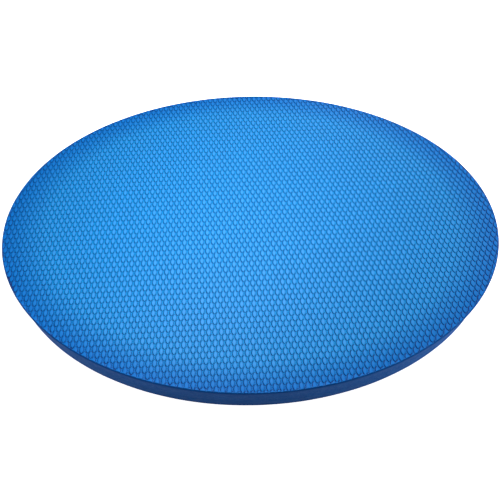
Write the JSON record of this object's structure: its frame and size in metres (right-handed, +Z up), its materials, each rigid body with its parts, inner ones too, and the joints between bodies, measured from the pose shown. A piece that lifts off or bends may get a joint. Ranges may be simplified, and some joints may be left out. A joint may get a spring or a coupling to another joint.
{
  "type": "balance pad",
  "caption": "Oval foam balance pad with embossed non-slip faces and a smooth cut side wall; it sinks and tips elastically under a foot.",
  "frame": {"origin": "centre of the pad's underside, on the surface that the pad lies on", "axes": "+X along the pad's length, +Y across the pad towards the back, +Z up through the standing face"},
  "size_m": [0.4, 0.28, 0.03],
  "materials": {
    "embossed_face": "satin",
    "cut_foam": "matte"
  },
  "bodies": {
    "base": {"bottom_face_sheet": "embossed_face", "lower_foam_ply": "cut_foam"},
    "middle": {"middle_foam_ply": "cut_foam"},
    "upper": {"upper_foam_ply": "cut_foam"},
    "top": {"top_face_sheet": "embossed_face"}
  },
  "joints": [
    {"name": "press", "type": "slide", "parent": "base", "child": "middle", "axis": [0, 0, -1], "range_m": [0, 0.007], "stiffness_N_per_m": 107000, "deforming": ["lower_foam_ply"]},
    {"name": "tip_front_back", "type": "hinge", "parent": "middle", "child": "upper", "pos_m": [0, 0, 0.0191], "axis": [1, 0, 0], "range_deg": [-2, 2], "stiffness_Nm_per_rad": 525, "deforming": ["middle_foam_ply"]},
    {"name": "tip_side_to_side", "type": "hinge", "parent": "upper", "child": "top", "pos_m": [0, 0, 0.027], "axis": [0, 1, 0], "range_deg": [-1.4, 1.4], "stiffness_Nm_per_rad": 1070, "deforming": ["upper_foam_ply"]}
  ]
}
